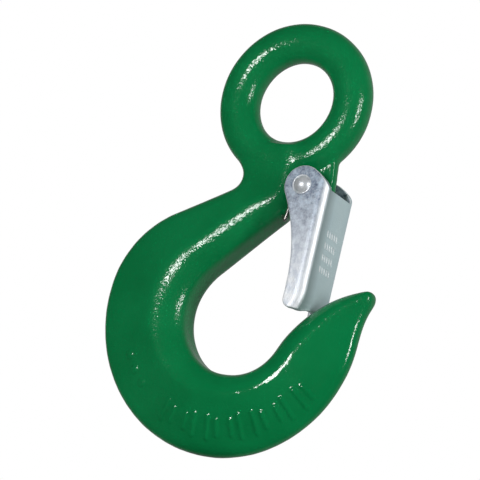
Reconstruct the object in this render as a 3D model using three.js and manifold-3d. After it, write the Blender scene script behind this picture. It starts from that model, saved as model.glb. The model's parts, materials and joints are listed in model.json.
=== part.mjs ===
// Eye hook with safety latch: a forged sling hook, the sheet-steel latch that closes its throat,
// the rivet that the latch turns on, and the double torsion spring that holds it shut.
//
// Millimetres, +Z up. X runs across the throat, with the point of the hook on the +X side, and Y
// is the thickness direction. The outlines are drawn from the centre of the eye, and at the end
// everything is lowered so that the origin is the bearing point of the eye, the middle of its top
// inside. In every flat outline the first coordinate is X and the second is Z, and angles are in
// degrees from +X towards +Z.
import * as THREE from "three";
import { mergeVertices } from "three/addons/utils/BufferGeometryUtils.js";
import Module from "manifold-3d";

// Clearance between neighbouring pieces, and how far a cutter reaches past what it cuts.
const GAP = 0.3;
const OVERCUT = 1;

const GREEN_ENAMEL = { color: 0x0f6b3c, roughness: 0.35, metalness: 0 };
const ZINC_SHEET = { color: 0xb4bcc6, roughness: 0.4, metalness: 1 };
const RIVET_STEEL = { color: 0xd2d4d6, roughness: 0.25, metalness: 1 };
const SPRING_WIRE = { color: 0x8a8f94, roughness: 0.3, metalness: 1 };

// Eye: a ring of round stock. An odd number of facets round the stock puts a flat one on the
// bearing line, and the number round the ring centres one at its top.
const EYE_BORE = 25;
const EYE_STOCK = 12;
const EYE_RADIUS = (EYE_BORE + EYE_STOCK) / 2;
const STOCK_FACETS = 25;
const RING_FACETS = 70;

// Inner outline of the forging, from the neck round the bowl to the point.
const NECK_X = 9.3;
const NECK_TOP_Z = -14.2;
const NECK_BEND = { x: -2.7, z: -28.4, radius: 12, from: 0, to: -45 };
const BOWL_BACK = { x: 2.4, z: -66.9, radius: 18.1, from: 135, to: 277.5 };
const BOWL_FRONT = { x: 2.8, z: -70.6, radius: 14.4, from: 277.5, to: 340 };
const THROAT = { x: 49.75, z: -87.8, radius: 35.6, from: 160, to: 105.2 };

// Outer outline of the forging, from the neck round the back and the belly to the point.
const NECK_FILLET = { x: -15.2, z: -25.3, radius: 4.8, from: 60, to: -62 };
const SHOULDER = { x: -14, z: -65, radius: 30.3, from: 115, to: 180 };
const BACK = { x: 1, z: -65, radius: 45.3, from: 180, to: 275 };
const BELLY = { x: 1, z: -70.8, radius: 39.5, from: 275, to: 345 };
const BELLY_FRONT = { ...BELLY, from: 345, to: 360 };
const POINT_HOLLOW = { x: 76.5, z: -68, radius: 36, from: 180, to: 162 };

// The round nose of the point, where the two outlines draw together.
const NOSE = { x: 40.2, z: -55.3, radius: 1.8 };
const NOSE_INNER = { ...NOSE, from: 105.2, to: 47 };
const NOSE_OUTER = { ...NOSE, from: -22, to: 36 };

// Cross-sections of the forging. "thick" is the greatest thickness, "rim" the thickness of the
// outer edge, and "ridge" the share of the width, from the inner side, where it is thickest.
// "taper" says how late the section before changes into this one: 1 is evenly.
const NECK_SECTION = { thick: 12.5, rim: 8.5, ridge: 0.2, taper: 1 };
const SHANK_SECTION = { thick: 15.5, rim: 8.5, ridge: 0.44, taper: 1 };
const SHOULDER_SECTION = { thick: 18, rim: 6.5, ridge: 0.36, taper: 1 };
const BOWL_SECTION = { thick: 19, rim: 5, ridge: 0.32, taper: 1 };
const BELLY_SECTION = { thick: 17, rim: 4.4, ridge: 0.35, taper: 1 };
const POINT_SECTION = { thick: 6, rim: 3.4, ridge: 0.5, taper: 1.4 };
const NOSE_SECTION = { thick: 0.8, rim: 0.5, ridge: 0.5, taper: 2 };
const NOSE_FLAT_ANGLE = 23;
const CHEEK_POWER = 1.05;
const RIM_ROUND = 0.5;
const RIM_ROUND_OF_WIDTH = 0.2;

// Rivet.
const PIN = { x: 14.4, z: -26.8 };
const PIN_DIAMETER = 4.4;
const PIN_HEAD_DIAMETER = 6;
const PIN_HEAD_HEIGHT = 1.7;
const PIN_BORE = PIN_DIAMETER + 2 * GAP;
const PIN_FACETS = 32;

// Lug of the forging that carries the rivet. Its roots are buried in the eye and the shank.
const LUG_THICKNESS = 4;
const LUG_RADIUS = 5.7;
const LUG_ROUND_END = -95;
const LUG_EYE_ROOT = { x: 11, z: -15 };
const LUG_EYE_CORNER = { x: 18.6, z: -15.2 };
const LUG_SHANK_CORNER = { x: 4, z: -36.5 };
const LUG_SHANK_ROOT = { x: 2, z: -24 };

// Latch: a channel of bent sheet, described with the rivet's axis as its origin.
const SHEET = 2;
const LATCH_WIDTH = 19.5;
const LATCH_LEAN = 2.1;
const WEB_OUTSIDE = 8.4;
const BEND_RADIUS = 3;
const EAR_RADIUS = 6;
const EAR_CROWN_ANGLE = 60;
const EAR_SCOOP_RADIUS = 55;
const EAR_SCOOP_Z = -30.2;
const SHOULDER_TURN = 1;
const LATCH_FOOT_Z = -37.3;
const FOOT_ROUND = 2.5;
const FOOT_ARCH_HEIGHT = 1.3;
const FOOT_ARCH_RADIUS = 14.5;
const FOOT_ARCH_FACETS = 96;
const DISH_START_Z = -31;
const DISH_DEPTH = 2;
const TONGUE_WIDTH = 6;

// Spring: a coil each side of the lug, a leg from each coil to the shank, and a bridge between
// the coils that presses on the inside of the latch. Each coil ends two turns on from its start.
const WIRE = 1.2;
const COIL_RADIUS = 3.35;
const COIL_START = 160;
const COIL_END = 12 - 2 * 360;
const COIL_INNER_Y = LUG_THICKNESS / 2 + GAP + WIRE / 2;
const COIL_OUTER_Y = LATCH_WIDTH / 2 - SHEET - GAP - WIRE / 2;
const SHANK_LEG = { x: 7.9, z: -36.4 };
const SHANK_LEG_TIP_Y = 3;
const BRIDGE = { x: 20.2, z: -38 };
const BRIDGE_APPROACH_X = BRIDGE.x - 0.24;
const SPRING_STEPS = 210;

const wasm = await Module();
wasm.setup();

const radians = THREE.MathUtils.degToRad;
const lerp = THREE.MathUtils.lerp;

// A geometry as a solid that can be joined and cut.
function solid(geometry) {
  const bare = geometry.clone();
  bare.deleteAttribute("normal");
  bare.deleteAttribute("uv");
  const merged = mergeVertices(bare);
  return new wasm.Manifold(
    new wasm.Mesh({
      numProp: 3,
      vertProperties: merged.attributes.position.array,
      triVerts: new Uint32Array(merged.index.array),
    }),
  );
}

function geometryOf(body) {
  const { vertProperties, triVerts } = body.getMesh();
  const geometry = new THREE.BufferGeometry();
  geometry.setAttribute("position", new THREE.BufferAttribute(vertProperties, 3));
  geometry.setIndex(new THREE.BufferAttribute(triVerts, 1));
  geometry.computeVertexNormals();
  return geometry;
}

function namedMesh(name, geometry, finish) {
  const mesh = new THREE.Mesh(geometry, new THREE.MeshStandardMaterial(finish));
  mesh.name = name;
  return mesh;
}

// The stretch of a circle between two angles, turning whichever way the angles run.
function arc({ x, z, radius, from, to }) {
  return new THREE.EllipseCurve(x, z, radius, radius, radians(from), radians(to), to < from);
}

function line(x1, z1, x2, z2) {
  return new THREE.LineCurve(new THREE.Vector2(x1, z1), new THREE.Vector2(x2, z2));
}

// The straight stretch from the end of one curve to the start of the next.
function join(before, after) {
  return new THREE.LineCurve(before.getPoint(1), after.getPoint(0));
}

function chain(...curves) {
  const path = new THREE.CurvePath();
  for (const curve of curves) {
    path.add(curve);
  }
  return path;
}

// A flat outline as a plate of the given thickness, centred on Y = 0.
function plate(shape, thickness) {
  const geometry = new THREE.ExtrudeGeometry(shape, {
    depth: thickness,
    bevelEnabled: false,
    curveSegments: 16,
  });
  return geometry.rotateX(Math.PI / 2).translate(0, thickness / 2, 0);
}

// One closed body through a row of closed sections. "profiles" holds each section flat, turning
// anticlockwise, and "rings" holds the same points in place.
function loft(profiles, rings) {
  const count = profiles[0].length;
  const faces = [];
  for (let ring = 0; ring + 1 < rings.length; ring++) {
    for (let i = 0; i < count; i++) {
      const a = ring * count + i;
      const b = ring * count + ((i + 1) % count);
      faces.push(a, b, b + count, a, b + count, a + count);
    }
  }
  const last = (rings.length - 1) * count;
  for (const [a, b, c] of THREE.ShapeUtils.triangulateShape(profiles[0], [])) {
    faces.push(c, b, a);
  }
  for (const [a, b, c] of THREE.ShapeUtils.triangulateShape(profiles.at(-1), [])) {
    faces.push(last + a, last + b, last + c);
  }
  const geometry = new THREE.BufferGeometry().setFromPoints(rings.flat());
  geometry.setIndex(faces);
  return geometry;
}

// The forging's section, flat: the first coordinate runs from the inner side (0) to the outer
// side (width) and the second is the thickness. The inner side is half an ellipse with its nose
// cut off flat, NOSE_FLAT_ANGLE each side of the middle. From the ridge the cheeks slope down to
// a rim with rounded corners.
function forgingSection(width, { thick, rim, ridge }) {
  const noseSteps = 7;
  const cheekSteps = 5;
  const cornerSteps = 3;
  const ridgeAt = width * ridge;
  const corner = Math.min(rim * RIM_ROUND, width * RIM_ROUND_OF_WIDTH);
  const cheek = (across) => {
    const share = (across - ridgeAt) / (width - ridgeAt);
    return rim / 2 + (thick / 2 - rim / 2) * (1 - share ** CHEEK_POWER);
  };
  const half = [];
  for (let i = 0; i <= noseSteps; i++) {
    const angle = radians(lerp(NOSE_FLAT_ANGLE, 90, i / noseSteps));
    half.push([ridgeAt * (1 - Math.cos(angle)), (thick / 2) * Math.sin(angle)]);
  }
  for (let i = 1; i <= cheekSteps; i++) {
    const across = lerp(ridgeAt, width - corner, i / cheekSteps);
    half.push([across, cheek(across)]);
  }
  for (let i = 1; i <= cornerSteps; i++) {
    const angle = (i / cornerSteps) * (Math.PI / 2);
    const across = width - corner + corner * Math.sin(angle);
    half.push([across, cheek(across) - corner * (1 - Math.cos(angle))]);
  }
  const near = half.map(([across, y]) => new THREE.Vector2(across, -y));
  const far = half.map(([across, y]) => new THREE.Vector2(across, y)).reverse();
  return [...near, ...far];
}

// The forging is drawn as stretches. In each, the inner and the outer outline run side by side
// and the section changes from that of the stretch before to the one named here.
function forgingStretches() {
  const neckBend = arc(NECK_BEND);
  const bowlBack = arc(BOWL_BACK);
  const neckFillet = arc(NECK_FILLET);
  const shoulder = arc(SHOULDER);
  const bellyFront = arc(BELLY_FRONT);
  const hollow = arc(POINT_HOLLOW);
  const filletTop = neckFillet.getPoint(0);
  return [
    {
      inner: line(NECK_X, NECK_TOP_Z, NECK_X, NECK_BEND.z),
      outer: line(filletTop.x, NECK_TOP_Z, filletTop.x, filletTop.y),
      steps: 3,
      section: NECK_SECTION,
    },
    { inner: neckBend, outer: neckFillet, steps: 12, section: SHANK_SECTION },
    {
      inner: join(neckBend, bowlBack),
      outer: join(neckFillet, shoulder),
      steps: 6,
      section: SHOULDER_SECTION,
    },
    { inner: bowlBack, outer: chain(shoulder, arc(BACK)), steps: 24, section: BOWL_SECTION },
    { inner: arc(BOWL_FRONT), outer: arc(BELLY), steps: 12, section: BELLY_SECTION },
    {
      inner: arc(THROAT),
      outer: chain(bellyFront, join(bellyFront, hollow), hollow),
      steps: 14,
      section: POINT_SECTION,
    },
    { inner: arc(NOSE_INNER), outer: arc(NOSE_OUTER), steps: 5, section: NOSE_SECTION },
  ];
}

function forgedBody() {
  const profiles = [];
  const rings = [];
  let before = NECK_SECTION;
  for (const { inner, outer, steps, section } of forgingStretches()) {
    // A stretch after the first starts with the last section of the one before.
    const first = profiles.length > 0 ? 1 : 0;
    for (let step = first; step <= steps; step++) {
      const from = inner.getPoint(step / steps);
      const to = outer.getPoint(step / steps);
      const along = (step / steps) ** section.taper;
      const here = {
        thick: lerp(before.thick, section.thick, along),
        rim: lerp(before.rim, section.rim, along),
        ridge: lerp(before.ridge, section.ridge, along),
      };
      const width = from.distanceTo(to);
      const across = to.clone().sub(from).divideScalar(width);
      const profile = forgingSection(width, here);
      profiles.push(profile);
      rings.push(
        profile.map((p) => new THREE.Vector3(from.x + across.x * p.x, p.y, from.y + across.y * p.x)),
      );
    }
    before = section;
  }
  return solid(loft(profiles, rings));
}

function pinCylinder(diameter, length) {
  return new THREE.CylinderGeometry(diameter / 2, diameter / 2, length, PIN_FACETS);
}

// The lug: a thin web of the forging between the eye and the shank, bored for the rivet.
function lug() {
  const shape = new THREE.Shape();
  shape.moveTo(LUG_EYE_ROOT.x, LUG_EYE_ROOT.z);
  shape.lineTo(LUG_EYE_CORNER.x, LUG_EYE_CORNER.z);
  shape.lineTo(PIN.x + LUG_RADIUS, PIN.z);
  shape.absarc(PIN.x, PIN.z, LUG_RADIUS, 0, radians(LUG_ROUND_END), true);
  shape.lineTo(LUG_SHANK_CORNER.x, LUG_SHANK_CORNER.z);
  shape.lineTo(LUG_SHANK_ROOT.x, LUG_SHANK_ROOT.z);
  shape.closePath();
  return solid(plate(shape, LUG_THICKNESS));
}

function hookBody() {
  const eye = new THREE.TorusGeometry(EYE_RADIUS, EYE_STOCK / 2, STOCK_FACETS, RING_FACETS);
  const bore = pinCylinder(PIN_BORE, LATCH_WIDTH).translate(PIN.x, 0, PIN.z);
  const body = solid(eye.rotateX(Math.PI / 2))
    .add(forgedBody())
    .add(lug())
    .subtract(solid(bore));
  return namedMesh("hook_body", geometryOf(body), GREEN_ENAMEL);
}

// Section of the latch's channel, flat in X and Y. "dish" is how far the web's sides are set
// back from the tongue in its middle.
function channelSection(dish) {
  const bendSteps = 6;
  const half = LATCH_WIDTH / 2;
  const centreX = WEB_OUTSIDE - dish - BEND_RADIUS;
  const centreY = half - BEND_RADIUS;
  const face = (inset) => {
    const radius = BEND_RADIUS - inset;
    const points = [[-2 * EAR_RADIUS, -half + inset]];
    for (let i = 0; i <= bendSteps; i++) {
      const angle = (i / bendSteps) * (Math.PI / 2);
      points.push([centreX + radius * Math.sin(angle), -centreY - radius * Math.cos(angle)]);
    }
    points.push([WEB_OUTSIDE - inset, -TONGUE_WIDTH / 2]);
    const mirrored = points.map(([x, y]) => [x, -y]).reverse();
    return [...points, ...mirrored];
  };
  return [...face(0), ...face(SHEET).reverse()].map(([x, y]) => new THREE.Vector2(x, y));
}

function channel() {
  const dishSteps = 5;
  const stations = [];
  for (let i = 0; i <= dishSteps; i++) {
    const share = 1 - i / dishSteps;
    const z = lerp(DISH_START_Z, LATCH_FOOT_Z - OVERCUT, share);
    stations.push({ z, dish: DISH_DEPTH * share ** 2 });
  }
  stations.push({ z: 2 * EAR_RADIUS, dish: 0 });
  const profiles = stations.map(({ dish }) => channelSection(dish));
  const rings = profiles.map((profile, i) =>
    profile.map((p) => new THREE.Vector3(p.x, p.y, stations[i].z)),
  );
  return solid(loft(profiles, rings));
}

// Side view of the latch: the ear round the rivet, the scooped inner edge and the rounded foot.
function latchOutline() {
  const scoopX = -Math.sqrt((EAR_SCOOP_RADIUS + EAR_RADIUS) ** 2 - EAR_SCOOP_Z ** 2);
  const touch = Math.atan2(EAR_SCOOP_Z, scoopX);
  const edgeX = scoopX + EAR_SCOOP_RADIUS;
  const beyondWeb = WEB_OUTSIDE + OVERCUT;
  const crown = radians(EAR_CROWN_ANGLE);
  const crownX = EAR_RADIUS * Math.cos(crown);
  const crownZ = EAR_RADIUS * Math.sin(crown);
  const turnX = WEB_OUTSIDE - SHOULDER_TURN;
  const turnZ = crownZ - (turnX - crownX) / Math.tan(crown);
  const shape = new THREE.Shape();
  shape.moveTo(beyondWeb, LATCH_FOOT_Z);
  shape.lineTo(beyondWeb, 0);
  shape.lineTo(WEB_OUTSIDE, 0);
  shape.quadraticCurveTo(turnX, turnZ, crownX, crownZ);
  shape.absarc(0, 0, EAR_RADIUS, crown, touch, false);
  shape.absarc(scoopX, EAR_SCOOP_Z, EAR_SCOOP_RADIUS, touch + Math.PI, 0, true);
  const footX = edgeX + FOOT_ROUND;
  const footZ = LATCH_FOOT_Z + FOOT_ROUND;
  shape.lineTo(edgeX, footZ);
  shape.absarc(footX, footZ, FOOT_ROUND, Math.PI, -Math.PI / 2, false);
  shape.closePath();
  return solid(plate(shape, LATCH_WIDTH + 2 * OVERCUT));
}

function latch() {
  const webTop = new THREE.BoxGeometry(SHEET * 2, LATCH_WIDTH - 2 * BEND_RADIUS, EAR_RADIUS);
  webTop.translate(WEB_OUTSIDE, 0, EAR_RADIUS / 2);
  const arch = new THREE.CylinderGeometry(
    FOOT_ARCH_RADIUS,
    FOOT_ARCH_RADIUS,
    EAR_RADIUS,
    FOOT_ARCH_FACETS,
  );
  arch.rotateZ(Math.PI / 2);
  arch.translate(WEB_OUTSIDE, 0, LATCH_FOOT_Z + FOOT_ARCH_HEIGHT - FOOT_ARCH_RADIUS);
  const body = channel()
    .intersect(latchOutline())
    .subtract(solid(webTop))
    .subtract(solid(arch))
    .subtract(solid(pinCylinder(PIN_BORE, LATCH_WIDTH + 2 * OVERCUT)));
  const mesh = namedMesh("latch", geometryOf(body), ZINC_SHEET);
  mesh.position.set(PIN.x, 0, PIN.z);
  mesh.rotation.y = radians(-LATCH_LEAN);
  return mesh;
}

// The rivet: a plain shank with a domed head outside each ear.
function pivotPin() {
  const domeSteps = 7;
  const seat = LATCH_WIDTH / 2 + GAP;
  const rim = PIN_HEAD_DIAMETER / 2;
  const domeRadius = (rim ** 2 + PIN_HEAD_HEIGHT ** 2) / (2 * PIN_HEAD_HEIGHT);
  const spread = Math.asin(rim / domeRadius);
  const head = [];
  for (let i = 0; i <= domeSteps; i++) {
    const angle = (i / domeSteps) * spread;
    const height = seat + PIN_HEAD_HEIGHT - domeRadius * (1 - Math.cos(angle));
    head.push([domeRadius * Math.sin(angle), height]);
  }
  head.push([PIN_DIAMETER / 2, seat]);
  const lower = head.map(([radius, y]) => new THREE.Vector2(radius, -y));
  const upper = head.map(([radius, y]) => new THREE.Vector2(radius, y)).reverse();
  const geometry = new THREE.LatheGeometry([...lower, ...upper], PIN_FACETS);
  const mesh = namedMesh("pivot_pin", geometry, RIVET_STEEL);
  mesh.position.set(PIN.x, 0, PIN.z);
  return mesh;
}

// The centre line of one half of the spring, from the end that bears on the shank, round the
// coil and down to the bridge. "side" is -1 for the near half and 1 for the far half.
function springHalf(side) {
  const pointsPerTurn = 16;
  const turns = (COIL_START - COIL_END) / 360;
  const coilSteps = Math.round(turns * pointsPerTurn);
  const points = [];
  points.push(new THREE.Vector3(SHANK_LEG.x, side * SHANK_LEG_TIP_Y, SHANK_LEG.z));
  points.push(new THREE.Vector3(SHANK_LEG.x, side * (COIL_OUTER_Y - WIRE), SHANK_LEG.z));
  points.push(new THREE.Vector3(SHANK_LEG.x + WIRE / 2, side * COIL_OUTER_Y, SHANK_LEG.z + WIRE));
  for (let i = 0; i <= coilSteps; i++) {
    const share = i / coilSteps;
    const angle = radians(lerp(COIL_START, COIL_END, share));
    const y = side * lerp(COIL_OUTER_Y, COIL_INNER_Y, share);
    const x = PIN.x + COIL_RADIUS * Math.cos(angle);
    points.push(new THREE.Vector3(x, y, PIN.z + COIL_RADIUS * Math.sin(angle)));
  }
  points.push(new THREE.Vector3(BRIDGE_APPROACH_X, side * COIL_INNER_Y, BRIDGE.z + WIRE));
  points.push(new THREE.Vector3(BRIDGE.x, side * (COIL_INNER_Y - WIRE), BRIDGE.z));
  return points;
}

function latchSpring() {
  const points = [...springHalf(-1), ...springHalf(1).reverse()];
  const path = new THREE.CatmullRomCurve3(points, false, "centripetal");
  const wire = new THREE.Shape().absarc(0, 0, WIRE / 2, 0, 2 * Math.PI, false);
  const geometry = new THREE.ExtrudeGeometry(wire, {
    steps: SPRING_STEPS,
    curveSegments: 4,
    extrudePath: path,
  });
  return namedMesh("latch_spring", geometry, SPRING_WIRE);
}

// Height of the bearing point above the centre of the eye: the middle of the facet there.
function bearingHeight() {
  const facetDepth = (EYE_STOCK / 2) * Math.cos(Math.PI / STOCK_FACETS);
  return (EYE_RADIUS - facetDepth) * Math.cos(Math.PI / RING_FACETS);
}

const group = new THREE.Group();
group.add(hookBody(), latch(), pivotPin(), latchSpring());
group.position.z = -bearingHeight();

export default group;
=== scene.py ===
"""Eye hook with latch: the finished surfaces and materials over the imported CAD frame.

Metres, in the CAD's frame: +Z up the load line, +X across the throat towards the point, and the
camera's side of the forging on -Y.
"""

import json
import math

import bmesh
import bpy
import numpy as np
from mathutils import Matrix, Vector, noise


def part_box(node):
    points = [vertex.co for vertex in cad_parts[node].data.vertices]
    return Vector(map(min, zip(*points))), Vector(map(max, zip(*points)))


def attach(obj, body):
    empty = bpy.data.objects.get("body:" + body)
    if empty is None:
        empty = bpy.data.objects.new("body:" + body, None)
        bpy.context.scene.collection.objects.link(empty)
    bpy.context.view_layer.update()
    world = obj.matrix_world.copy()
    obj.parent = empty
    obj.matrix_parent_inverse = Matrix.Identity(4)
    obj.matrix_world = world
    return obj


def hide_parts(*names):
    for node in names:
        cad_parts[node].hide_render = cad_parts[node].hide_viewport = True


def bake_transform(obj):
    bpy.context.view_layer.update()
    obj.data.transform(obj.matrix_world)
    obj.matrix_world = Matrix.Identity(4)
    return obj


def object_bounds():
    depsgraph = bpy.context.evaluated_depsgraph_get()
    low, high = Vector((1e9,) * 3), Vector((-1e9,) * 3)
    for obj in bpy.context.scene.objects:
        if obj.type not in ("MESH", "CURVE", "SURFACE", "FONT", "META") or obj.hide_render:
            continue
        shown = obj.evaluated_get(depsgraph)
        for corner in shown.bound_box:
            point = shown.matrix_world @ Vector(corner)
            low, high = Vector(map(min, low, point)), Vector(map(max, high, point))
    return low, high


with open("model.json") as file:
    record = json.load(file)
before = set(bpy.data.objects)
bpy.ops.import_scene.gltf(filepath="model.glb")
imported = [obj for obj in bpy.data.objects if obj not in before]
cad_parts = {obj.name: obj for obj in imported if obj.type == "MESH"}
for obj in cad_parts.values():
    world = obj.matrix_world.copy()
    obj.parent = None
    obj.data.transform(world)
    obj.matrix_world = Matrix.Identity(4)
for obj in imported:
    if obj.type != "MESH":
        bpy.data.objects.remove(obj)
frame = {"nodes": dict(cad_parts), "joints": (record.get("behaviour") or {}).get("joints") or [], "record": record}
cad_low, cad_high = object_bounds()

MM = 0.001
X_AXIS = Vector((1, 0, 0))
Y_AXIS = Vector((0, 1, 0))
Z_AXIS = Vector((0, 0, 1))

# Places taken from the frame.
mounts = {mount["name"]: Vector(mount["pos_m"]) for mount in frame["record"]["mounts"]}
PIN = Vector(frame["joints"][0]["pos_m"])
LATCH_LOW, LATCH_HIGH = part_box("latch")
PIN_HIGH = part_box("pivot_pin")[1]
SPRING_LOW, SPRING_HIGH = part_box("latch_spring")

# Forging. Corners closer together than the weld distance are one corner.
WELD_DISTANCE = 0.001 * MM
FORGING_VOXEL = 0.42 * MM
FORGING_SMOOTHING = 46
FORGE_WAVE_HEIGHT = 0.09 * MM
FORGE_WAVE_LENGTH = 9 * MM

# Raised forge marks on the near cheek, in a band round the bowl: pairs of plain bars, and a few
# round pips. Angles are in degrees from +X, and the marks fade in over a range of facing.
BOWL_RADIUS = 18.6 * MM
BOWL_CENTRE = mounts["bowl_bearing"] + Z_AXIS * BOWL_RADIUS
MARK_RADIUS = 35.5 * MM
MARK_HEIGHT = 0.4 * MM
MARK_EDGE = 0.6 * MM
MARK_FACING = (0.3, 0.8)
BAR_PAIRS = 7
BAR_FIRST_ANGLE = -112
BAR_ANGLE_PITCH = 12.5
BAR_HALF_WIDTH = 0.55 * MM
BAR_SPACING = 3.0 * MM
BAR_LENGTHS = (6.2 * MM, 4.2 * MM)
PIP_ANGLES = (-150, -142, -134)
PIP_RADIUS = 1.3 * MM

# Latch.
LATCH_VOXEL = 0.24 * MM
LATCH_SMOOTHING = 6

# Rows of plain stamped strokes on the outside of the latch's web, counted down from the rivet.
STAMP_ROWS = 4
STAMP_ROW_PITCH = 3.6 * MM
STAMP_FIRST_DROP = 12 * MM
STAMP_STROKES = 5
STAMP_STROKE_PITCH = 1.5 * MM
STAMP_STROKE_HALF = 0.75 * MM
STAMP_HALF_WIDTH = 0.2 * MM
STAMP_LEAN = 0.25
STAMP_DEPTH = 0.3 * MM
STAMP_FACING = (2 / 3, 1)

# Rivet.
RIVET_SEGMENTS = 64
RIVET_SHANK_RADIUS = 2.2 * MM
RIVET_DOME_STEPS = 14
RIVET_SEAT_GAP = 0.05 * MM
RIVET_CHAMFER = 0.05 * MM
RIVET_FLANGE = 0.55 * MM
RIVET_GROOVE = 0.36 * MM

# Spring. The coil's ends are angles about the rivet, and it winds back through over two turns.
WIRE_RADIUS = 0.6 * MM
WIRE_SIDES = 14
COIL_START = math.radians(160)
COIL_END = math.radians(12 - 2 * 360)
COIL_OUTER_Y = SPRING_HIGH.y - WIRE_RADIUS
COIL_INNER_Y = 2.9 * MM
COIL_STEPS = 42
COIL_CURVE_STEPS = 4
BRIDGE_LAP = 0.2 * MM

# Corners of the spring's leg, from the rivet's axis.
LEG_BEND = Vector((-4.1, 0, -9.4)) * MM
LEG_TURN = Vector((-4.8, 0, -10.3)) * MM
LEG_TIP = Vector((-7.1, 0, -8.75)) * MM
LEG_TIP_Y = 3 * MM
LEG_INSET = 0.3 * MM
LEG_CURVE_STEPS = 8

# Every texture below has a feature size, a depth of finer detail, and sometimes a roughness or a
# stretch. A tone is a display colour, and a range is a (low, high) pair.
WHITE = (1, 1, 1, 1)

# Enamel. It gets smoother between these places, down to a share of its usual texture.
ENAMEL_PATCHES = {"size": 16 * MM, "detail": 4}
ENAMEL_RIPPLES = {"size": 5 * MM, "detail": 1}
ENAMEL_PEEL = {"size": 1.0 * MM, "detail": 1}
ENAMEL_GRAIN = {"size": 0.5 * MM, "detail": 1}
RIPPLE_DEPTH = 0.1 * MM
PEEL_DEPTH = 0.085 * MM
GRAIN_DEPTH = 0.035 * MM
PATCH_RANGE = (0.35, 0.65)
GRAIN_RANGE = (0.3, 0.7)
ENAMEL_ROUGHNESS = (0.12, 0.24)
ENAMEL_DARK = (3, 108, 58)
ENAMEL_LIGHT = (6, 116, 64)
SMOOTH_X = (-14 * MM, 2 * MM)
SMOOTH_Z = (-70 * MM, -84 * MM)
SMOOTH_TEXTURE = 0.45

# Zinc. A surface's facing runs from 0 on the web, through the bends, to 1 on the ears.
ZINC_BLOTCHES = {"size": 2.4 * MM, "detail": 5, "roughness": 0.65}
ZINC_SPANGLE = {"size": 0.7 * MM, "detail": 3, "roughness": 0.7}
ZINC_BRUSHING = {"size": 0.35 * MM, "detail": 2, "stretch": (1, 1, 0.12)}
WEB_CLOUDS = {"size": 7 * MM, "detail": 2}
BLOTCH_RANGE = (0.38, 0.62)
SPANGLE_RANGE = (0.4, 0.62)
SPANGLE_SHARE = 0.3
ZINC_BUMP_DEPTH = 0.02 * MM
ZINC_METALLIC = 0.4
ZINC_ROUGHNESS = (0.4, 0.52)
ON_EAR_FACING = (0.6, 0.95)
# These two facing ranges mark out the bends, which get a painted highlight.
OFF_EAR_FACING = (0.93, 0.75)
OFF_WEB_FACING = (0.25, 0.6)
EAR_FOOT_DARK = (232, 240, 250)
EAR_FOOT_LIGHT = (253, 254, 255)
EAR_TOP_DARK = (78, 92, 118)
EAR_TOP_LIGHT = (168, 186, 202)
SPANGLE_TONE = (226, 230, 238)
WEB_DARK = (184, 207, 212)
WEB_LIGHT = (199, 219, 221)
# Painted shade: the web is darker beside the near bend only, across this span of Y, in place of its reflection.
WEB_PAINTED_SHADE = (146, 164, 166)
WEB_PAINTED_SHADE_Y = (LATCH_LOW.y + 2.5 * MM, -2.5 * MM)
# Painted highlight: the near-white colour painted on the bends.
BEND_PAINTED_HIGHLIGHT = (236, 240, 244)
STAMPED_TONE = (236, 240, 240)

# Rivet steel.
RIVET_GRIME = {"size": 1.6 * MM, "detail": 4}
RIVET_SCUFFS = {"size": 0.3 * MM, "detail": 3, "stretch": (1, 0.3, 1)}
GRIME_RANGE = (0.4, 0.7)
SCUFF_DEPTH = 0.012 * MM
RIVET_METALLIC = 0.6
RIVET_ROUGHNESS = (0.34, 0.48)
RIVET_BRIGHT = (240, 244, 248)
RIVET_GRIMY = (200, 206, 212)

# Spring wire.
WIRE_MOTTLE = {"size": 0.25 * MM, "detail": 3}
WIRE_BUMP_DEPTH = 0.01 * MM
WIRE_METALLIC = 0.9
WIRE_ROUGHNESS = 0.3
WIRE_DARK = (120, 116, 112)
WIRE_LIGHT = (186, 184, 180)

# Floor.
FLOOR_HALF_WIDTH = 6.0
FLOOR_SQUARES = 8
FLOOR_DROP = 0.5 * MM
FLOOR_CLOUDS = {"size": 30 * MM, "detail": 3}
FLOOR_ROUGHNESS = 0.8
FLOOR_GLOW = 0.6
FLOOR_DARK = (238, 238, 236)
FLOOR_LIGHT = (244, 244, 243)

# Lights, each in a direction from the object.
LIGHT_DISTANCE = 1.0
KEY_LIGHT = {"towards": (-0.05, -0.97, -0.04), "width": 0.26, "height": 0.24, "power": 6}
SIDE_LIGHT = {"towards": (0.93, -0.28, 0.2), "width": 0.12, "height": 0.4, "power": 4}
FILL_LIGHT = {"towards": (-0.4, 0.9, 0.3), "width": 0.5, "height": 0.5, "power": 5}

# The room: its even light on surfaces, and how bright reflections see it, from in front of the
# object to behind it. The direction's share of +Y says how far behind.
ROOM_LIGHT = 0.46
ROOM_REFLECTED = (0.02, 0.32)
ROOM_BEHIND = (0.1, 0.95)

# The reference photo's viewing direction, as the camera's own axes in the object's frame, the
# place it looks at, and the width it sees there.
CAMERA_RIGHT = Vector((0.8688, 0.4249, 0.2543))
CAMERA_UP = Vector((-0.1314, -0.2975, 0.9457))
CAMERA_TARGET = Vector((-9.35, 4.91, -55.29)) * MM
CAMERA_FIELD = 142.56 * MM
CAMERA_DISTANCE = 2.4
SENSOR_WIDTH = 36


# ---------------------------------------------------------------- mesh helpers


def add_object(name, mesh):
    piece = bpy.data.objects.new(name, mesh)
    bpy.context.scene.collection.objects.link(piece)
    return piece


def shade_smooth(mesh):
    mesh.polygons.foreach_set("use_smooth", [True] * len(mesh.polygons))


def read_points(mesh):
    points = np.empty(len(mesh.vertices) * 3)
    mesh.vertices.foreach_get("co", points)
    return points.reshape(-1, 3)


def write_points(mesh, points):
    mesh.vertices.foreach_set("co", points.ravel())
    mesh.update()


def read_normals(mesh):
    normals = np.empty(len(mesh.vertices) * 3)
    mesh.vertex_normals.foreach_get("vector", normals)
    return normals.reshape(-1, 3)


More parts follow.
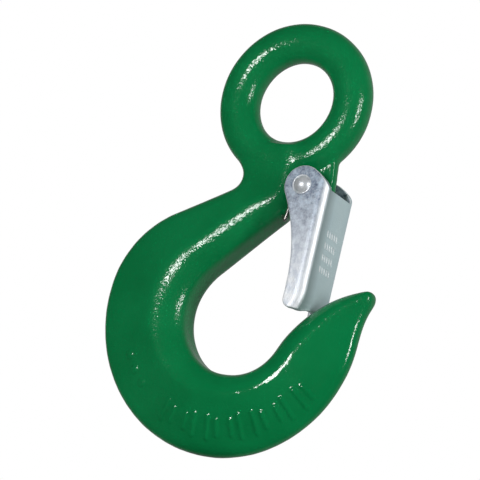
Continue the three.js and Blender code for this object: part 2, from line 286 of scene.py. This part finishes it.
def diffuse(values, edges, rounds):
    """Averages each vertex's values with those of its neighbours, over and over."""
    count = len(values)
    starts = np.concatenate([edges[:, 0], edges[:, 1]])
    ends = np.concatenate([edges[:, 1], edges[:, 0]])
    valence = np.bincount(starts, minlength=count)[:, None]
    for _ in range(rounds):
        sums = [np.bincount(starts, values[ends, axis], count) for axis in range(3)]
        values = (values + np.stack(sums, axis=1) / valence) / 2
    return values


def smooth_keeping_size(mesh, rounds):
    """Irons out facets. What plain smoothing shrinks is smoothed too and added back."""
    edges = np.empty(len(mesh.edges) * 2, dtype=np.int32)
    mesh.edges.foreach_get("vertices", edges)
    edges = edges.reshape(-1, 2)
    points = read_points(mesh)
    ironed = diffuse(points, edges, rounds)
    write_points(mesh, ironed + diffuse(points - ironed, edges, rounds))


def refined_copy(node, name, voxel, rounds):
    """A fine, smooth copy of a CAD node as a new piece that stands for it."""
    mesh = frame["nodes"][node].data.copy()
    mesh.materials.clear()
    shell = bmesh.new()
    shell.from_mesh(mesh)
    bmesh.ops.remove_doubles(shell, verts=shell.verts, dist=WELD_DISTANCE)
    shell.to_mesh(mesh)
    shell.free()
    piece = add_object(name, mesh)
    remesh = piece.modifiers.new("remesh", "REMESH")
    remesh.mode = "VOXEL"
    remesh.voxel_size = voxel
    depsgraph = bpy.context.evaluated_depsgraph_get()
    fine = bpy.data.meshes.new_from_object(piece.evaluated_get(depsgraph))
    piece.modifiers.clear()
    piece.data = fine
    smooth_keeping_size(fine, rounds)
    shade_smooth(fine)
    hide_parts(node)
    return piece


def circle(centre, first, second, radius, count):
    """Places round a circle in the plane of two unit directions."""
    turns = [2 * math.pi * i / count for i in range(count)]
    return [centre + (first * math.cos(turn) + second * math.sin(turn)) * radius for turn in turns]


def skinned_mesh(name, rings, tips):
    """A smooth closed mesh through rings of places, with a fan to a tip at each end."""
    shell = bmesh.new()
    hoops = [[shell.verts.new(place) for place in ring] for ring in rings]
    for first, second in zip(hoops, hoops[1:]):
        for i in range(len(first)):
            j = (i + 1) % len(first)
            shell.faces.new((first[i], first[j], second[j], second[i]))
    for place, hoop in zip(tips, (hoops[0], hoops[-1])):
        tip = shell.verts.new(place)
        for i in range(len(hoop)):
            shell.faces.new((tip, hoop[i], hoop[(i + 1) % len(hoop)]))
    bmesh.ops.recalc_face_normals(shell, faces=shell.faces)
    mesh = bpy.data.meshes.new(name)
    shell.to_mesh(mesh)
    shell.free()
    shade_smooth(mesh)
    return mesh


def ramp(values, low, high):
    """0 up to low, 1 from high on, and a straight climb between."""
    return np.clip((values - low) / (high - low), 0, 1)


def rise(distance, edge):
    """1 inside an outline (negative distance), 0 outside it, and between them a soft step that is
    as wide as the edge."""
    share = np.clip(0.5 - distance / edge, 0, 1)
    return share * share * (3 - 2 * share)


def bar_distance(across, along, half_length, half_width):
    """Distance outside a round-ended bar that lies along its middle line."""
    beyond = np.maximum(np.abs(along) - half_length, 0)
    return np.hypot(across, beyond) - half_width


# ---------------------------------------------------------------- node helpers


class Shader:
    """A material's node tree, with short ways to add the nodes that these materials use."""

    # The Mix node's colour sockets, whose names its other sockets share.
    MIX_SHARE = 0
    MIX_FIRST = 6
    MIX_SECOND = 7
    MIX_RESULT = 2

    def __init__(self, name):
        self.material = bpy.data.materials.new(name)
        self.material.use_nodes = True
        self.tree = self.material.node_tree
        self.surface = self.tree.nodes["Principled BSDF"]
        self.place = self.add("ShaderNodeTexCoord").outputs["Object"]

    def add(self, kind, **settings):
        made = self.tree.nodes.new(kind)
        for key, value in settings.items():
            setattr(made, key, value)
        return made

    def feed(self, source, target):
        """Links another node's output to an input, or sets the input to a plain value."""
        if hasattr(source, "is_output"):
            self.tree.links.new(source, target)
        else:
            target.default_value = source

    def split(self, vector):
        """A vector's X, Y and Z, by name."""
        made = self.add("ShaderNodeSeparateXYZ")
        self.feed(vector, made.inputs[0])
        return made.outputs

    def noise(self, size, detail, roughness=0.5, stretch=(1, 1, 1)):
        """Noise whose features are about size across, in metres."""
        scaled = self.add("ShaderNodeMapping")
        self.feed(self.place, scaled.inputs["Vector"])
        scaled.inputs["Scale"].default_value = [share / size for share in stretch]
        made = self.add("ShaderNodeTexNoise")
        self.feed(scaled.outputs["Vector"], made.inputs["Vector"])
        made.inputs["Scale"].default_value = 1
        made.inputs["Detail"].default_value = detail
        made.inputs["Roughness"].default_value = roughness
        return made.outputs["Fac"]

    def spread(self, value, low, high, to_low=0, to_high=1):
        """A value mapped from one range to another, and held at its ends."""
        made = self.add("ShaderNodeMapRange")
        self.feed(value, made.inputs["Value"])
        made.inputs["From Min"].default_value = low
        made.inputs["From Max"].default_value = high
        made.inputs["To Min"].default_value = to_low
        made.inputs["To Max"].default_value = to_high
        return made.outputs["Result"]

    def mix(self, share, first, second):
        made = self.add("ShaderNodeMix", data_type="RGBA")
        self.feed(share, made.inputs[self.MIX_SHARE])
        self.feed(first, made.inputs[self.MIX_FIRST])
        self.feed(second, made.inputs[self.MIX_SECOND])
        return made.outputs[self.MIX_RESULT]

    def math(self, operation, first, second=0):
        made = self.add("ShaderNodeMath", operation=operation)
        self.feed(first, made.inputs[0])
        self.feed(second, made.inputs[1])
        return made.outputs[0]

    def bump(self, height, depth, over=None):
        """A bumped normal, over another one if there is one."""
        made = self.add("ShaderNodeBump")
        self.feed(height, made.inputs["Height"])
        made.inputs["Distance"].default_value = depth
        made.inputs["Strength"].default_value = 1
        if over is not None:
            self.feed(over, made.inputs["Normal"])
        return made.outputs["Normal"]

    def set(self, **inputs):
        for key, value in inputs.items():
            self.feed(value, self.surface.inputs[key.replace("_", " ")])


def colour(tone):
    """A display colour, 0 to 255 a channel, as the linear colour that shaders use."""

    def linear(value):
        share = value / 255
        return share / 12.92 if share <= 0.04045 else ((share + 0.055) / 1.055) ** 2.4

    return (*map(linear, tone), 1)


# ---------------------------------------------------------------- materials


def green_enamel():
    """Thick gloss enamel: orange peel, slow ripples, and slightly thin, darker patches. It has
    flowed out smoother below the bowl, on the point's side."""
    shader = Shader("green_enamel")
    axes = shader.split(shader.place)
    beside = shader.spread(axes["X"], *SMOOTH_X)
    below = shader.spread(axes["Z"], *SMOOTH_Z)
    smoother = shader.math("MULTIPLY", beside, below)
    texture = shader.spread(smoother, 0, 1, 1, SMOOTH_TEXTURE)
    peel = shader.math("MULTIPLY", shader.noise(**ENAMEL_PEEL), texture)
    grain = shader.math("MULTIPLY", shader.noise(**ENAMEL_GRAIN), texture)
    patches = shader.spread(shader.noise(**ENAMEL_PATCHES), *PATCH_RANGE)
    rippled = shader.bump(shader.noise(**ENAMEL_RIPPLES), RIPPLE_DEPTH)
    peeled = shader.bump(peel, PEEL_DEPTH, over=rippled)
    shader.set(
        Base_Color=shader.mix(patches, colour(ENAMEL_DARK), colour(ENAMEL_LIGHT)),
        Roughness=shader.spread(grain, *GRAIN_RANGE, *ENAMEL_ROUGHNESS),
        Normal=shader.bump(grain, GRAIN_DEPTH, over=peeled),
    )
    return shader.material


def ear_tone(shader, height, blotches, spangle):
    """Mottled and bluish, from dark beside the rivet to almost white at the foot."""
    upper = shader.spread(height, LATCH_LOW.z, PIN.z)
    dark = shader.mix(upper, colour(EAR_FOOT_DARK), colour(EAR_TOP_DARK))
    light = shader.mix(upper, colour(EAR_FOOT_LIGHT), colour(EAR_TOP_LIGHT))
    sparkle = shader.math("MULTIPLY", spangle, SPANGLE_SHARE)
    return shader.mix(sparkle, shader.mix(blotches, dark, light), colour(SPANGLE_TONE))


def web_tone(shader, across):
    """Smooth and slightly green, with a painted shade beside the near bend that stands in for the web's uneven
    reflection.
    """
    tone = shader.mix(shader.noise(**WEB_CLOUDS), colour(WEB_DARK), colour(WEB_LIGHT))
    # Painted shade laid over the web's own cloudy tone.
    return shader.mix(shader.spread(across, *WEB_PAINTED_SHADE_Y), colour(WEB_PAINTED_SHADE), tone)


def zinc_sheet():
    """Zinc-plated sheet: an ear tone, a web tone with a painted shade beside the near bend, painted highlights on
    the bends between, and brighter stamps.
    """
    shader = Shader("zinc_sheet")
    axes = shader.split(shader.place)
    normal = shader.split(shader.add("ShaderNodeNewGeometry").outputs["Normal"])
    facing = shader.math("ABSOLUTE", normal["Y"])
    blotches = shader.spread(shader.noise(**ZINC_BLOTCHES), *BLOTCH_RANGE)
    spangle = shader.spread(shader.noise(**ZINC_SPANGLE), *SPANGLE_RANGE)
    ear = ear_tone(shader, axes["Z"], blotches, spangle)
    web = web_tone(shader, axes["Y"])
    flat = shader.mix(shader.spread(facing, *ON_EAR_FACING), web, ear)
    off_web = shader.spread(facing, *OFF_WEB_FACING)
    off_ear = shader.spread(facing, *OFF_EAR_FACING)
    # Painted highlight on the bends, where the facing lies between web and ear.
    bend_highlight = shader.math("MULTIPLY", off_web, off_ear)
    bare = shader.mix(bend_highlight, flat, colour(BEND_PAINTED_HIGHLIGHT))
    stamped = shader.add("ShaderNodeAttribute", attribute_name="stamped").outputs["Fac"]
    relief = shader.math("ADD", spangle, shader.noise(**ZINC_BRUSHING))
    shader.set(
        Base_Color=shader.mix(stamped, bare, colour(STAMPED_TONE)),
        Metallic=ZINC_METALLIC,
        Roughness=shader.spread(blotches, 0, 1, *ZINC_ROUGHNESS),
        Normal=shader.bump(relief, ZINC_BUMP_DEPTH),
    )
    return shader.material


def rivet_steel():
    """Bright plated steel with fine scuffs and a little grime."""
    shader = Shader("rivet_steel")
    grime = shader.spread(shader.noise(**RIVET_GRIME), *GRIME_RANGE)
    shader.set(
        Base_Color=shader.mix(grime, colour(RIVET_BRIGHT), colour(RIVET_GRIMY)),
        Metallic=RIVET_METALLIC,
        Roughness=shader.spread(grime, 0, 1, *RIVET_ROUGHNESS),
        Normal=shader.bump(shader.noise(**RIVET_SCUFFS), SCUFF_DEPTH),
    )
    return shader.material


def spring_wire():
    """Drawn wire: darker steel with a fine mottle."""
    shader = Shader("spring_wire")
    mottle = shader.noise(**WIRE_MOTTLE)
    shader.set(
        Base_Color=shader.mix(mottle, colour(WIRE_DARK), colour(WIRE_LIGHT)),
        Metallic=WIRE_METALLIC,
        Roughness=WIRE_ROUGHNESS,
        Normal=shader.bump(mottle, WIRE_BUMP_DEPTH),
    )
    return shader.material


def pale_floor():
    """Off-white board, seen only from above so that the low camera looks past it. Its glow is
    for the camera alone and lights nothing."""
    shader = Shader("pale_floor")
    seen = shader.add("ShaderNodeLightPath").outputs["Is Camera Ray"]
    clouds = shader.noise(**FLOOR_CLOUDS)
    shader.set(
        Base_Color=shader.mix(clouds, colour(FLOOR_DARK), colour(FLOOR_LIGHT)),
        Roughness=FLOOR_ROUGHNESS,
        Emission_Color=WHITE,
        Emission_Strength=shader.math("MULTIPLY", seen, FLOOR_GLOW),
    )
    from_below = shader.add("ShaderNodeNewGeometry").outputs["Backfacing"]
    clear = shader.add("ShaderNodeBsdfTransparent")
    either = shader.add("ShaderNodeMixShader")
    shader.feed(from_below, either.inputs[0])
    shader.feed(shader.surface.outputs[0], either.inputs[1])
    shader.feed(clear.outputs[0], either.inputs[2])
    shader.feed(either.outputs[0], shader.tree.nodes["Material Output"].inputs["Surface"])
    return shader.material


# ---------------------------------------------------------------- forging


def forge_marks(points):
    """How far each point is raised by the marks, from 0 to 1."""
    offset = points[:, (0, 2)] - np.array((BOWL_CENTRE.x, BOWL_CENTRE.z))
    angle = np.arctan2(offset[:, 1], offset[:, 0])
    along = np.hypot(offset[:, 0], offset[:, 1]) - MARK_RADIUS
    raised = np.zeros(len(points))
    for pair in range(BAR_PAIRS):
        degrees = BAR_FIRST_ANGLE + BAR_ANGLE_PITCH * pair
        for side in (-1, 1):
            across = (angle - math.radians(degrees)) * MARK_RADIUS - side * BAR_SPACING / 2
            length = BAR_LENGTHS[(pair + (side > 0)) % 2]
            distance = bar_distance(across, along, length / 2, BAR_HALF_WIDTH)
            raised = np.maximum(raised, rise(distance, MARK_EDGE))
    for degrees in PIP_ANGLES:
        across = (angle - math.radians(degrees)) * MARK_RADIUS
        raised = np.maximum(raised, rise(np.hypot(across, along) - PIP_RADIUS, MARK_EDGE))
    return raised


def forge_waves(points):
    """The slow unevenness of a hammered surface, about -1 to 1."""
    scaled = points / FORGE_WAVE_LENGTH
    return np.array([noise.noise(Vector(point)) for point in scaled])


def build_forging():
    piece = refined_copy("hook_body", "hook_forging", FORGING_VOXEL, FORGING_SMOOTHING)
    mesh = piece.data
    points = read_points(mesh)
    normals = read_normals(mesh)
    near_cheek = ramp(-normals[:, 1], *MARK_FACING)
    height = forge_marks(points) * near_cheek * MARK_HEIGHT
    height += forge_waves(points) * FORGE_WAVE_HEIGHT
    write_points(mesh, points + normals * height[:, None])
    mesh.materials.append(green_enamel())
    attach(piece, "hook")


# ---------------------------------------------------------------- latch


def stamp_marks(points):
    """How far each point is pressed in by the rows of short leaning strokes, from 0 to 1."""
    drop = PIN.z - points[:, 2]
    stamped = np.zeros(len(points))
    for row in range(STAMP_ROWS):
        below = drop - STAMP_FIRST_DROP - row * STAMP_ROW_PITCH
        for stroke in range(STAMP_STROKES):
            offset = (stroke - (STAMP_STROKES - 1) / 2) * STAMP_STROKE_PITCH
            across = points[:, 1] - offset - STAMP_LEAN * below
            distance = bar_distance(across, below, STAMP_STROKE_HALF, STAMP_HALF_WIDTH)
            stamped = np.maximum(stamped, rise(distance, 2 * STAMP_HALF_WIDTH))
    return stamped


def build_latch():
    piece = refined_copy("latch", "latch_sheet", LATCH_VOXEL, LATCH_SMOOTHING)
    mesh = piece.data
    points = read_points(mesh)
    normals = read_normals(mesh)
    outside = ramp(normals[:, 0], *STAMP_FACING)
    stamped = stamp_marks(points) * outside
    write_points(mesh, points - normals * stamped[:, None] * STAMP_DEPTH)
    mesh.attributes.new("stamped", "FLOAT", "POINT").data.foreach_set("value", stamped)
    mesh.materials.append(zinc_sheet())
    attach(piece, "latch")


# ---------------------------------------------------------------- rivet


def rivet_profile():
    """Half of the rivet's outline as (radius, distance from the middle), from tip to shank: a
    dome, a groove round its foot, and a flange that sits on the latch's ear."""
    seat = LATCH_HIGH.y + RIVET_SEAT_GAP
    tip = PIN_HIGH.y
    rim = PIN_HIGH.z - PIN.z
    dome = rim - RIVET_GROOVE
    flange = seat + RIVET_FLANGE
    height = tip - flange
    ball = (dome**2 + height**2) / (2 * height)
    spread = math.asin(dome / ball)
    profile = []
    for i in range(RIVET_DOME_STEPS + 1):
        angle = spread * i / RIVET_DOME_STEPS
        profile.append((ball * math.sin(angle), tip - ball * (1 - math.cos(angle))))
    return [
        *profile,
        (dome + RIVET_GROOVE / 3, flange - RIVET_GROOVE / 3),
        (rim - RIVET_GROOVE / 3, flange + RIVET_GROOVE / 4),
        (rim, flange - RIVET_GROOVE / 4),
        (rim, seat + RIVET_CHAMFER),
        (rim - RIVET_CHAMFER, seat),
        (RIVET_SHANK_RADIUS, seat),
    ]


def build_rivet():
    half = rivet_profile()
    outline = half + [(radius, -y) for radius, y in reversed(half)]
    rings = []
    for radius, y in outline[1:-1]:
        rings.append(circle(PIN + Y_AXIS * y, X_AXIS, Z_AXIS, radius, RIVET_SEGMENTS))
    tips = [PIN + Y_AXIS * outline[end][1] for end in (0, -1)]
    piece = add_object("rivet", skinned_mesh("rivet", rings, tips))
    piece.data.materials.append(rivet_steel())
    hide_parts("pivot_pin")
    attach(piece, "latch")


# ---------------------------------------------------------------- spring


def smooth_path(corners, steps):
    """Points along a Catmull-Rom curve through the corners."""
    padded = [2 * corners[0] - corners[1], *corners, 2 * corners[-1] - corners[-2]]
    path = []
    for before, start, end, after in zip(padded, padded[1:], padded[2:], padded[3:]):
        for i in range(steps):
            t = i / steps
            bend = start * 2 + (end - before) * t
            bend += (before * 2 - start * 5 + end * 4 - after) * t**2
            bend += (start * 3 - before - end * 3 + after) * t**3
            path.append(bend / 2)
    return [*path, corners[-1]]


def wire_mesh(name, path):
    """A round wire along a path, closed by a low point at each end."""
    rings = []
    last = len(path) - 1
    side = (path[1] - path[0]).orthogonal().normalized()
    for index, point in enumerate(path):
        ahead = (path[min(index + 1, last)] - path[max(index - 1, 0)]).normalized()
        side = (side - ahead * side.dot(ahead)).normalized()
        rings.append(circle(point, side, ahead.cross(side), WIRE_RADIUS, WIRE_SIDES))
    tips = []
    for end, inner in ((path[0], path[1]), (path[-1], path[-2])):
        tips.append(end + (end - inner).normalized() * WIRE_RADIUS / 2)
    return skinned_mesh(name, rings, tips)


def coil_corners(side):
    """Over two turns about the rivet, drawing in towards the lug, then down to the bridge."""
    radius = SPRING_HIGH.z - PIN.z - WIRE_RADIUS
    corners = []
    for i in range(COIL_STEPS + 1):
        share = i / COIL_STEPS
        angle = COIL_START + (COIL_END - COIL_START) * share
        y = side * (COIL_OUTER_Y + (COIL_INNER_Y - COIL_OUTER_Y) * share)
        around = (X_AXIS * math.cos(angle) + Z_AXIS * math.sin(angle)) * radius
        corners.append(PIN + around + Y_AXIS * y)
    bridge = Vector((SPRING_HIGH.x - WIRE_RADIUS, 0, SPRING_LOW.z + WIRE_RADIUS))
    corners.append(bridge + Vector((-WIRE_RADIUS / 2, side * COIL_INNER_Y, 2 * WIRE_RADIUS)))
    corners.append(bridge + Y_AXIS * side * (COIL_INNER_Y - 2 * WIRE_RADIUS))
    corners.append(bridge - Y_AXIS * side * BRIDGE_LAP)
    return corners


def leg_corners(side, start):
    """From the coil's start down beside the shank, then in under it."""
    leg_y = COIL_OUTER_Y - LEG_INSET
    top = start - Y_AXIS * side * LEG_INSET
    return [
        top + Vector((WIRE_RADIUS / 2, 0, WIRE_RADIUS)),
        top + Vector((-WIRE_RADIUS / 3, 0, -WIRE_RADIUS)),
        PIN + LEG_BEND + Y_AXIS * side * leg_y,
        PIN + LEG_TURN + Y_AXIS * side * (leg_y - WIRE_RADIUS),
        PIN + LEG_TIP + Y_AXIS * side * LEG_TIP_Y,
    ]


def build_wire(name, corners, steps, material):
    wire = add_object(name, wire_mesh(name, smooth_path(corners, steps)))
    wire.data.materials.append(material)
    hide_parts("latch_spring")
    return wire


def build_spring():
    """Two coils that wind between hook and latch, and the two legs that stay on the hook."""
    material = spring_wire()
    for side, label in ((-1, "near"), (1, "far")):
        corners = coil_corners(side)
        coil = build_wire(f"spring_coil_{label}", corners, COIL_CURVE_STEPS, material)
        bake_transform(coil)
        path = leg_corners(side, corners[0])
        leg = build_wire(f"spring_leg_{label}", path, LEG_CURVE_STEPS, material)
        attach(leg, "hook")


# ---------------------------------------------------------------- staging


def build_floor():
    shell = bmesh.new()
    bmesh.ops.create_grid(
        shell, x_segments=FLOOR_SQUARES, y_segments=FLOOR_SQUARES, size=FLOOR_HALF_WIDTH
    )
    mesh = bpy.data.meshes.new("floor")
    shell.to_mesh(mesh)
    shell.free()
    floor = add_object("floor", mesh)
    floor.location = (0, 0, cad_low.z - FLOOR_DROP)
    floor.visible_glossy = False
    mesh.materials.append(pale_floor())


def build_light(name, towards, width, height, power, mirrored=True):
    """An area light in the given direction from the object, facing it."""
    light = bpy.data.lights.new(name, "AREA")
    light.shape = "RECTANGLE"
    light.size = width
    light.size_y = height
    light.energy = power
    lamp = bpy.data.objects.new(name, light)
    direction = Vector(towards).normalized()
    lamp.location = CAMERA_TARGET + direction * LIGHT_DISTANCE
    lamp.rotation_euler = direction.to_track_quat("Z", "Y").to_euler()
    lamp.visible_camera = False
    lamp.visible_glossy = mirrored
    bpy.context.scene.collection.objects.link(lamp)


def build_world():
    """White for the camera, even light for the surfaces, and for reflections a dim room in
    front of the object with a bright backdrop behind it."""
    world = bpy.data.worlds.new("studio")
    bpy.context.scene.world = world
    world.use_nodes = True
    tree = world.node_tree
    nodes = tree.nodes
    link = tree.links.new
    nodes.clear()
    direction = nodes.new("ShaderNodeTexCoord")
    axes = nodes.new("ShaderNodeSeparateXYZ")
    link(direction.outputs["Generated"], axes.inputs[0])
    behind = nodes.new("ShaderNodeMapRange")
    behind.interpolation_type = "SMOOTHSTEP"
    link(axes.outputs["Y"], behind.inputs["Value"])
    behind.inputs["From Min"].default_value = ROOM_BEHIND[0]
    behind.inputs["From Max"].default_value = ROOM_BEHIND[1]
    behind.inputs["To Min"].default_value = ROOM_REFLECTED[0]
    behind.inputs["To Max"].default_value = ROOM_REFLECTED[1]
    rays = nodes.new("ShaderNodeLightPath")
    reflected = nodes.new("ShaderNodeMixRGB")
    link(rays.outputs["Is Glossy Ray"], reflected.inputs["Fac"])
    reflected.inputs["Color1"].default_value = (ROOM_LIGHT, ROOM_LIGHT, ROOM_LIGHT, 1)
    link(behind.outputs["Result"], reflected.inputs["Color2"])
    seen = nodes.new("ShaderNodeMixRGB")
    link(rays.outputs["Is Camera Ray"], seen.inputs["Fac"])
    link(reflected.outputs["Color"], seen.inputs["Color1"])
    seen.inputs["Color2"].default_value = WHITE
    sky = nodes.new("ShaderNodeBackground")
    link(seen.outputs["Color"], sky.inputs["Color"])
    out = nodes.new("ShaderNodeOutputWorld")
    link(sky.outputs["Background"], out.inputs["Surface"])


def build_camera():
    back = CAMERA_RIGHT.cross(CAMERA_UP).normalized()
    camera = bpy.data.cameras.new("camera")
    camera.sensor_width = SENSOR_WIDTH
    camera.lens = SENSOR_WIDTH * CAMERA_DISTANCE / CAMERA_FIELD
    viewer = bpy.data.objects.new("camera", camera)
    turn = Matrix((CAMERA_RIGHT, CAMERA_UP, back)).transposed().to_4x4()
    viewer.matrix_world = Matrix.Translation(CAMERA_TARGET + back * CAMERA_DISTANCE) @ turn
    bpy.context.scene.collection.objects.link(viewer)
    bpy.context.scene.camera = viewer


build_forging()
build_latch()
build_rivet()
build_spring()
build_floor()
build_light("key", **KEY_LIGHT)
build_light("side", **SIDE_LIGHT)
build_light("fill", **FILL_LIGHT, mirrored=False)
build_world()
build_camera()
bpy.context.scene.view_settings.view_transform = "Standard"
